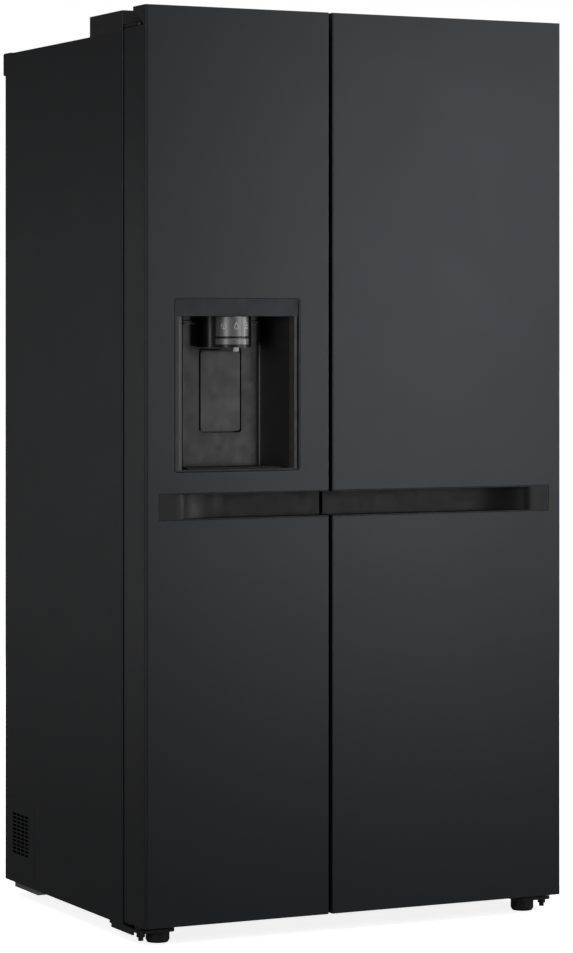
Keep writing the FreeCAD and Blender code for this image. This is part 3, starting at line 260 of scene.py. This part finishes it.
def aluminium_fins():
    look = Look("coil_aluminium", (0.62, 0.63, 0.64), 0.32, Metallic=1.0)
    look.colour(look.mix(look.noise(0.02, 4), (0.52, 0.53, 0.54), (0.70, 0.71, 0.72)))
    look.roughness(look.remap(look.noise(0.008, 3), 0.3, 0.7, 0.25, 0.45))
    look.bump(look.noise(0.0015, 3), 0.00004)
    return look


LOOKS = {
    "matte_black_steel": door_steel(),
    "black_case_steel": leather_grain_steel(),
    "grey_coated_steel": galvanised(),
    "dark_face_steel": painted("face_steel", (0.016, 0.016, 0.017), 0.4, 0.0008, 0.00002),
    "hinge_steel": painted("hinge_steel", (0.012, 0.012, 0.013), 0.38, 0.0006, 0.00003, vary=0.2),
    "liner_white": interior_white(),
    "insulation_foam": foam(),
    "black_plastic": moulded("black_plastic", (0.021, 0.0208, 0.0206), 0.5),
    "handle_trim": moulded("handle_trim", (0.0105, 0.0107, 0.0112), 0.44, 0.0004, 0.00001,
                           Specular_IOR_Level=0.36),
    "dispenser_plastic": moulded("dispenser_plastic", (0.0175, 0.0174, 0.0173), 0.34, 0.0005, 0.00001),
    "dispenser_fascia": moulded("dispenser_fascia", (0.0118, 0.0122, 0.0132), 0.38, 0.0005, 0.000008,
                                Specular_IOR_Level=0.42, Specular_Tint=(0.86, 0.92, 1.0, 1.0)),
    "dial_metal_look": brushed("dial_finish", (0.25, 0.25, 0.252), 0.36, 2, metallic=0.45),
    "paddle_plastic": moulded("paddle_plastic", (0.040, 0.0402, 0.0412), 0.33, 0.0005, 0.00001),
    "gasket_grey": rubber(),
    "clear_plastic": clear_plastic(),
    "tempered_glass": shelf_glass(),
    "shelf_trim_grey": brushed("shelf_trim", (0.55, 0.56, 0.58), 0.3, 0),
    "duct_white": moulded("duct_white", (0.72, 0.74, 0.76), 0.35, 0.0006, 0.00002, vary=0.03),
    "coil_aluminium": aluminium_fins(),
    "compressor_black": painted("compressor_black", (0.008, 0.008, 0.009), 0.3, 0.002, 0.0001),
    "fan_plastic": moulded("fan_plastic", (0.02, 0.02, 0.022), 0.5),
    "rear_cover_grey": moulded("rear_cover_grey", (0.06, 0.062, 0.065), 0.6, 0.001, 0.00006),
    "valve_plastic": moulded("valve_plastic", (0.55, 0.56, 0.58), 0.4),
    "foot_plastic": moulded("foot_plastic", (0.014, 0.014, 0.0145), 0.55, 0.0008, 0.00006),
    "screw_steel": brushed("screw_steel", (0.42, 0.42, 0.43), 0.35, 2),
}

OWN_LOOKS = {
    "drip_tray": moulded("tray_plastic", (0.005, 0.005, 0.0052), 0.5, Specular_IOR_Level=0.35),
    "side_vent_grilles": LOOKS["black_case_steel"],
}

for node, obj in NODES.items():
    obj.data.materials.clear()
    obj.data.materials.append(OWN_LOOKS.get(node, LOOKS[SLOT_OF[node]]).mat)


# ---------------------------------------------------------------- pieces the CAD leaves out
def piece(name, body, slot, fill, sharp=30, bevel=0.0, look=None):
    """A new object on a body: fill(bm) makes its mesh. It takes its slot's look unless it has its own."""
    mesh = bpy.data.meshes.new(name)
    bm = bmesh.new()
    fill(bm)
    bmesh.ops.recalc_face_normals(bm, faces=bm.faces)
    bm.to_mesh(mesh)
    bm.free()
    mesh.materials.append((look or LOOKS[slot]).mat)
    mesh.shade_smooth()
    mesh.set_sharp_from_angle(angle=math.radians(sharp))
    obj = bpy.data.objects.new(name, mesh)
    bpy.context.scene.collection.objects.link(obj)
    if bevel:
        rounding = obj.modifiers.new("rounding", "BEVEL")
        rounding.width = bevel
        rounding.segments = 3
        rounding.limit_method = "ANGLE"
    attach(obj, body)
    return obj


def add_box(bm, low, high):
    matrix = Matrix.LocRotScale((Vector(low) + Vector(high)) / 2, None, Vector(high) - Vector(low))
    bmesh.ops.create_cube(bm, size=1.0, matrix=matrix)


def add_prism(bm, outline, place, thickness):
    """Solid between an outline and its copy one thickness on: place(u, v, w) gives each point."""
    front = [bm.verts.new(place(u, v, thickness)) for u, v in outline]
    back = [bm.verts.new(place(u, v, 0.0)) for u, v in outline]
    bm.faces.new(front)
    bm.faces.new(back[::-1])
    for i in range(len(outline)):
        j = (i + 1) % len(outline)
        bm.faces.new((front[i], front[j], back[j], back[i]))


def add_lathe(bm, profile, centre, axis="Z", steps=48):
    """Solid of revolution; profile is a closed list of radius and height."""
    turned = []
    for k in range(steps):
        a = math.tau * k / steps
        loop = []
        for r, h in profile:
            p = Vector((r * math.cos(a), r * math.sin(a), h))
            if axis == "Y":
                p = Vector((p.x, p.z, p.y))
            loop.append(bm.verts.new(p + Vector(centre)))
        turned.append(loop)
    for k in range(steps):
        here, there = turned[k], turned[(k + 1) % steps]
        for i in range(len(profile)):
            j = (i + 1) % len(profile)
            bm.faces.new((here[i], here[j], there[j], there[i]))


def add_frame(bm, profile, x, z):
    """Mitred rectangular ring in the XZ plane; profile is a closed list of inset and depth along Y."""
    corners = ((x[0], z[0], 1, 1), (x[1], z[0], -1, 1), (x[1], z[1], -1, -1), (x[0], z[1], 1, -1))
    loops = []
    for cx, cz, sx, sz in corners:
        loops.append([bm.verts.new((cx + sx * inset, y, cz + sz * inset)) for inset, y in profile])
    for k in range(4):
        here, there = loops[k], loops[(k + 1) % 4]
        for i in range(len(profile)):
            j = (i + 1) % len(profile)
            bm.faces.new((here[i], here[j], there[j], there[i]))


def gasket_bellows(name, node, body):
    """Magnetic seal with its dart foot, two pleats and the magnet bulb."""
    low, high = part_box(node)
    reach = high.y - low.y
    # Inset from the seal's outer edge in millimetres, and share of the way from the door to the cabinet.
    steps = ((0.0, 0.0), (15.5, 0.0), (15.5, 0.22), (12.0, 0.30), (14.2, 0.42), (11.5, 0.52), (13.6, 0.62),
             (13.6, 0.94), (12.6, 1.0), (3.6, 1.0), (2.6, 0.94), (2.6, 0.62), (4.7, 0.52), (2.2, 0.42),
             (4.4, 0.30), (0.0, 0.22))
    profile = [(inset / 1000, low.y + reach * share) for inset, share in steps]
    ring = piece(name, body, "gasket_grey",
                 lambda bm: add_frame(bm, profile, (low.x, high.x), (low.z, high.z)))
    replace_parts(ring, node)


gasket_bellows("freezer_seal", "freezer_door_gasket", "freezer_door")
gasket_bellows("fridge_seal", "fridge_door_gasket", "fridge_door")


# Dial: three plain signs, and a trim ring under it.
dial_low, dial_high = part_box("dispenser_dial")
dial_x, dial_y = (dial_low.x + dial_high.x) / 2, (dial_low.y + dial_high.y) / 2
DIAL_R = (dial_high.x - dial_low.x) / 2
SIGN_Z = (dial_low.z + dial_high.z) / 2 + 0.001
SIGN_SCALE = 1.4
SIGN_SUNK = 0.0002
SIGN_THICK = 0.0004
SIGN_TURNS = (-52, -8, 38)


def on_dial(turn):
    """Places a flat outline on the dial's side, turned by an angle from the front."""
    def place(u, v, w):
        a = math.radians(turn) + u * SIGN_SCALE / DIAL_R - math.pi / 2
        r = DIAL_R - SIGN_SUNK + w
        return Vector((dial_x + r * math.cos(a), dial_y + r * math.sin(a), SIGN_Z + v * SIGN_SCALE))
    return place


def add_sign_bar(bm, place, start, end, width=0.0009):
    """A painted stroke between two points, cut in short runs so that it hugs the dial."""
    a, b = Vector(start), Vector(end)
    side = (b - a).orthogonal().normalized() * width / 2
    runs = 3
    for i in range(runs):
        p, q = a.lerp(b, i / runs), a.lerp(b, (i + 1) / runs)
        add_prism(bm, [p - side, q - side, q + side, p + side], place, SIGN_THICK)


def dial_signs(bm):
    """Ice cube, drop and crushed ice."""
    cube = [(-3.6, -2.2), (0, -4.2), (3.6, -2.2), (3.6, 2.2), (0, 4.2), (-3.6, 2.2)]
    cube = [(u / 1000, v / 1000) for u, v in cube]
    place = on_dial(SIGN_TURNS[0])
    for a, b in zip(cube, cube[1:] + cube[:1]):
        add_sign_bar(bm, place, a, b)
    for corner in (cube[1], cube[3], cube[5]):
        add_sign_bar(bm, place, (0, 0), corner)
    place = on_dial(SIGN_TURNS[1])
    drop = [(0, 5.0)] + [(2.9 * math.cos(math.radians(t)), -1.4 + 2.9 * math.sin(math.radians(t)))
                         for t in range(30, -211, -30)]
    drop = [(u / 1000, v / 1000) for u, v in drop]
    for a, b in zip(drop, drop[1:] + drop[:1]):
        add_sign_bar(bm, place, a, b)
    place = on_dial(SIGN_TURNS[2])
    for u, v in ((-2.6, -2.6), (1.6, -3.0), (-0.6, 1.2), (3.4, 0.8), (0.8, 4.4)):
        flake = [(u - 1.5, v - 1.1), (u + 1.2, v - 1.4), (u + 1.6, v + 0.9), (u - 0.6, v + 1.6)]
        add_prism(bm, [(p / 1000, q / 1000) for p, q in flake], place, SIGN_THICK)


piece("dial_signs", "dispenser_dial", "duct_white", dial_signs)


def nozzle_trim(bm):
    """Bright ring round the nozzle, just under the dial, with eased outer edges."""
    inner, outer = DIAL_R - 0.003, DIAL_R + 0.0006
    foot, top = dial_low.z - 0.0155, dial_low.z - 0.0035
    ease = 0.0008
    profile = [(inner, foot), (outer - ease, foot), (outer, foot + ease), (outer, top - ease),
               (outer - ease, top), (inner, top)]
    add_lathe(bm, profile, (dial_x, dial_y, 0))


chute_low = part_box("dispenser_chute")[0]
OUTLET_FOOT = chute_low.z - 0.0035


def water_outlet(bm):
    """Short white tube at the front of the nozzle, tapered at its mouth."""
    bore, mouth, tube = 0.0032, 0.0050, 0.0060
    top = chute_low.z + 0.006
    profile = [(bore, OUTLET_FOOT), (mouth, OUTLET_FOOT), (tube, OUTLET_FOOT + 0.0012), (tube, top),
               (bore, top)]
    add_lathe(bm, profile, (dial_x - 0.0027, dial_y - 0.0255, 0))


piece("nozzle_trim", "freezer_door", "dial_metal_look", nozzle_trim, sharp=40)
piece("water_outlet", "freezer_door", "duct_white", water_outlet, sharp=40)


def ice_lip(bm):
    """Crescent lip of the ice outlet, left of the water outlet."""
    outline = []
    for r, angles in ((0.031, range(195, 258, 9)), (0.0245, range(249, 194, -9))):
        outline += [(r * math.cos(math.radians(t)), r * math.sin(math.radians(t))) for t in angles]
    foot = OUTLET_FOOT + 0.003
    add_prism(bm, outline, lambda u, v, w: Vector((dial_x + u, dial_y + v, foot + w)), thickness=0.0062)


piece("ice_outlet_lip", "freezer_door", "rear_cover_grey", ice_lip, bevel=0.0008)


def lens_highlight_bars(bm):
    """Two pale lamp-lens bars under the ledge of the dispenser's recess, one to each side of the nozzle;
    their pale grey is partly a painted highlight along the ledge.
    """
    low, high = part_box("dispenser_housing")
    middle = (low.x + high.x) / 2
    near, far = 0.0545, 0.0775
    front = low.y + 0.0733
    deep = 0.0032
    foot, top = 1.1835, 1.1852
    for x in (middle - far, middle + near):
        add_box(bm, (x, front, foot), (x + far - near, front + deep, top))


# Pale grey lens plastic: real lamp covers in the compartment ceilings, and in the dispenser's recess
# partly a painted highlight on the ledge.
LENS_AND_HIGHLIGHT = moulded("lamp_lens_and_highlight", (0.55, 0.55, 0.54), 0.32, 0.0008, 0.00003, vary=0.03)
piece("recess_lens_highlight_bars", "freezer_door", "duct_white", lens_highlight_bars, bevel=0.0005, look=LENS_AND_HIGHLIGHT)


def tape_and_shade_round_pocket(node, body, outer):
    """Black foam tape behind the gap round a handle pocket: above it, below it and beyond its outer end.
    Its black partly stands in for the shadow in the gap: painted shade as well as a seal.

    The outer end is the left one for -1 and the right one for 1.
    """
    low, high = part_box(node)
    wide, past, short = 0.0024, 0.0026, 0.004
    pocket_height = 0.0531
    y = (low.y + 0.0032, low.y + 0.0075)
    z = (low.z - past, low.z + pocket_height)
    if outer < 0:
        x = (low.x - past, high.x - short)
        end = (x[0], x[0] + wide)
    else:
        x = (low.x + short, high.x + past)
        end = (x[1] - wide, x[1])

    def fill(bm):
        add_box(bm, (x[0], y[0], z[0]), (x[1], y[1], z[0] + wide))
        add_box(bm, (x[0], y[0], z[1] - wide), (x[1], y[1], z[1]))
        add_box(bm, (end[0], y[0], z[0] + wide), (end[1], y[1], z[1] - wide))
    # Near-black tape: painted shade for the dark line of the gap, as well as a seal.
    piece(node + "_shadow_tape", body, "compressor_black", fill, bevel=0.0004)


def loose_boxes(node):
    """Lowest and highest corner of each separate solid of a CAD node."""
    source = bmesh.new()
    source.from_mesh(NODES[node].data)
    bmesh.ops.remove_doubles(source, verts=source.verts, dist=1e-6)
    waiting = set(source.verts)
    boxes = []
    while waiting:
        island = [waiting.pop()]
        for vert in island:
            for edge in vert.link_edges:
                other = edge.other_vert(vert)
                if other in waiting:
                    waiting.remove(other)
                    island.append(other)
        boxes.append((Vector([min(v.co[i] for v in island) for i in range(3)]),
                      Vector([max(v.co[i] for v in island) for i in range(3)])))
    source.free()
    return sorted(boxes, key=lambda box: tuple(box[0]))


SCREW_SIDES = 32


def add_screw(bm, place, r, h):
    """Pan head of radius r and height h with a cross recess; place(u, v, w) has w along its axis."""
    def loop(points, w):
        return [bm.verts.new(place(u, v, w)) for u, v in points]

    def skirt(lower, upper):
        for i in range(len(lower)):
            j = (i + 1) % len(lower)
            bm.faces.new((lower[i], lower[j], upper[j], upper[i]))

    def circle(radius):
        turns = [math.tau * k / SCREW_SIDES for k in range(SCREW_SIDES)]
        return [(radius * math.cos(turn), radius * math.sin(turn)) for turn in turns]

    arm, half = 0.56 * r, 0.11 * r
    cross = [(arm, half), (half, half), (half, arm), (-half, arm), (-half, half), (-arm, half),
             (-arm, -half), (-half, -half), (-half, -arm), (half, -arm), (half, -half), (arm, -half)]
    foot = loop(circle(r), 0)
    shoulder = loop(circle(r), 0.45 * h)
    brow = loop(circle(0.93 * r), 0.75 * h)
    crown = loop(circle(0.72 * r), h)
    mouth = loop(cross, h)
    floor = loop(cross, 0.4 * h)
    for lower, upper in ((foot, shoulder), (shoulder, brow), (brow, crown), (floor, mouth)):
        skirt(lower, upper)
    bm.faces.new(foot)
    bm.faces.new(floor)
    rims = []
    for rim in (crown, mouth):
        for i in range(len(rim)):
            rims.append(bm.edges.get((rim[i], rim[(i + 1) % len(rim)])))
    bmesh.ops.triangle_fill(bm, use_beauty=True, edges=rims)


def rearward(centre, base):
    """Places a screw whose axis points to the back."""
    return lambda u, v, w: Vector((centre.x + u, base + w, centre.z + v))


def upright(centre, base, sign):
    """Places a screw whose axis points up for 1 and down for -1."""
    return lambda u, v, w: Vector((centre.x + u, centre.y + v, base + sign * w))


def screw_heads(bm):
    """Heads on top point up, those of the bottom hinges down, and those of the rear cover to the back."""
    underside = 0.1
    for low, high in loose_boxes("screws"):
        size, middle = high - low, (low + high) / 2
        if size.y < size.z:
            add_screw(bm, rearward(middle, low.y), size.z / 2, size.y)
        elif middle.z < underside:
            add_screw(bm, upright(middle, high.z, -1), size.x / 2, size.z)
        else:
            add_screw(bm, upright(middle, low.z, 1), size.x / 2, size.z)


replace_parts(piece("screw_heads", "cabinet", "screw_steel", screw_heads), "screws")


def led_panel(name, node):
    """Lamp cover in a compartment's ceiling, with its frosted ribs."""
    low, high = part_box(node)
    middle = (low.x + high.x) / 2
    sheet = 0.0025
    top = high.z - sheet
    front = low.y + 0.10
    half, deep, thick = 0.075, 0.105, 0.006
    rib_half, rib_pitch, rib_wide, ribs = 0.066, 0.0068, 0.0034, 14
    rib_foot, rib_top = top - 0.0072, top - 0.0058

    def fill(bm):
        add_box(bm, (middle - half, front, top - thick), (middle + half, front + deep, top))
        for i in range(ribs):
            y = front + 0.008 + i * rib_pitch
            add_box(bm, (middle - rib_half, y, rib_foot), (middle + rib_half, y + rib_wide, rib_top))
    piece(name, "cabinet", "duct_white", fill, bevel=0.001, look=LENS_AND_HIGHLIGHT)


tape_and_shade_round_pocket("freezer_handle", "freezer_door", -1)
tape_and_shade_round_pocket("fridge_handle", "fridge_door", 1)
led_panel("freezer_ceiling_lamp", "freezer_liner")
led_panel("fridge_ceiling_lamp", "fridge_liner")


# ---------------------------------------------------------------- camera, floor and light
def camera():
    data = bpy.data.cameras.new("camera")
    data.sensor_width = 36.0
    data.lens = 126.69
    data.shift_y = -0.15226
    data.clip_end = 200.0
    obj = bpy.data.objects.new("camera", data)
    obj.location = (-3.0221, -6.1854, 1.1696)
    obj.rotation_euler = (math.radians(90), 0, -math.radians(26.206))
    bpy.context.scene.collection.objects.link(obj)
    bpy.context.scene.camera = obj


def softbox(name, where, target, size, power, lean=0):
    """Rectangular lamp aimed at a point, leant over by some degrees about its own axis."""
    data = bpy.data.lights.new(name, "AREA")
    data.shape = "RECTANGLE"
    data.size, data.size_y = size
    data.energy = power
    obj = bpy.data.objects.new(name, data)
    obj.location = where
    aim = (Vector(target) - Vector(where)).to_track_quat("-Z", "Y")
    obj.rotation_euler = (aim @ Quaternion((0, 0, 1), -math.radians(lean))).to_euler()
    bpy.context.scene.collection.objects.link(obj)


def overhead_sun(strength, spread):
    """Even light from above over the whole floor."""
    data = bpy.data.lights.new("overhead", "SUN")
    data.energy = strength
    data.angle = math.radians(spread)
    obj = bpy.data.objects.new("overhead", data)
    bpy.context.scene.collection.objects.link(obj)


def studio_floor():
    """Pale floor that glows a little: near white to the horizon, with a faint shadow under the object."""
    mesh = bpy.data.meshes.new("floor")
    bm = bmesh.new()
    bmesh.ops.create_circle(bm, cap_ends=True, segments=96, radius=90.0)
    bm.to_mesh(mesh)
    bm.free()
    obj = bpy.data.objects.new("floor", mesh)
    bpy.context.scene.collection.objects.link(obj)
    look = Look("floor_pale", (0.86, 0.86, 0.86), 0.75, Specular_IOR_Level=0.0)
    look.colour(look.mix(look.noise(1.5, 2), (0.85, 0.85, 0.85), (0.87, 0.87, 0.87)))
    look.shader.inputs["Emission Color"].default_value = (1.0, 1.0, 1.0, 1.0)
    look.shader.inputs["Emission Strength"].default_value = 0.84
    mesh.materials.append(look.mat)
    obj.visible_glossy = False
    obj.visible_diffuse = False


def studio_world():
    """White behind the object, and a dim room for everything that it mirrors."""
    world = bpy.data.worlds.new("studio")
    bpy.context.scene.world = world
    world.use_nodes = True
    tree = world.node_tree
    room = tree.nodes["Background"]
    room.inputs["Color"].default_value = (0.075, 0.075, 0.076, 1)
    white = tree.nodes.new("ShaderNodeBackground")
    white.inputs["Color"].default_value = (1, 1, 1, 1)
    seen = tree.nodes.new("ShaderNodeLightPath")
    both = tree.nodes.new("ShaderNodeMixShader")
    tree.links.new(seen.outputs["Is Camera Ray"], both.inputs["Fac"])
    tree.links.new(room.outputs["Background"], both.inputs[1])
    tree.links.new(white.outputs["Background"], both.inputs[2])
    tree.links.new(both.outputs["Shader"], tree.nodes["World Output"].inputs["Surface"])


camera()
studio_floor()
studio_world()
overhead_sun(0.64, 80)
softbox("key_right", (2.12, -3.95, 1.32), (0.15, -0.37, 1.20), (1.2, 2.3), 27, lean=14)
softbox("top", (0.0, -1.2, 4.2), (0, 0, 0), (3.5, 3.5), 60)
softbox("panel_left", (-3.4, -2.1, 1.2), (-0.45, -0.3, 1.05), (1.0, 2.2), 24)
softbox("side_back", (-2.6, 3.4, 0.86), (-0.457, 0.0, 0.9), (1.4, 1.7), 2.4)
softbox("back_fill", (1.8, 4.4, 2.2), (0.1, 0.3, 1.0), (2.4, 2.4), 70)
softbox("strip_right", (4.2, -1.6, 1.5), (-0.1, -0.35, 1.0), (0.6, 2.4), 45)
bpy.context.scene.view_settings.view_transform = "Standard"
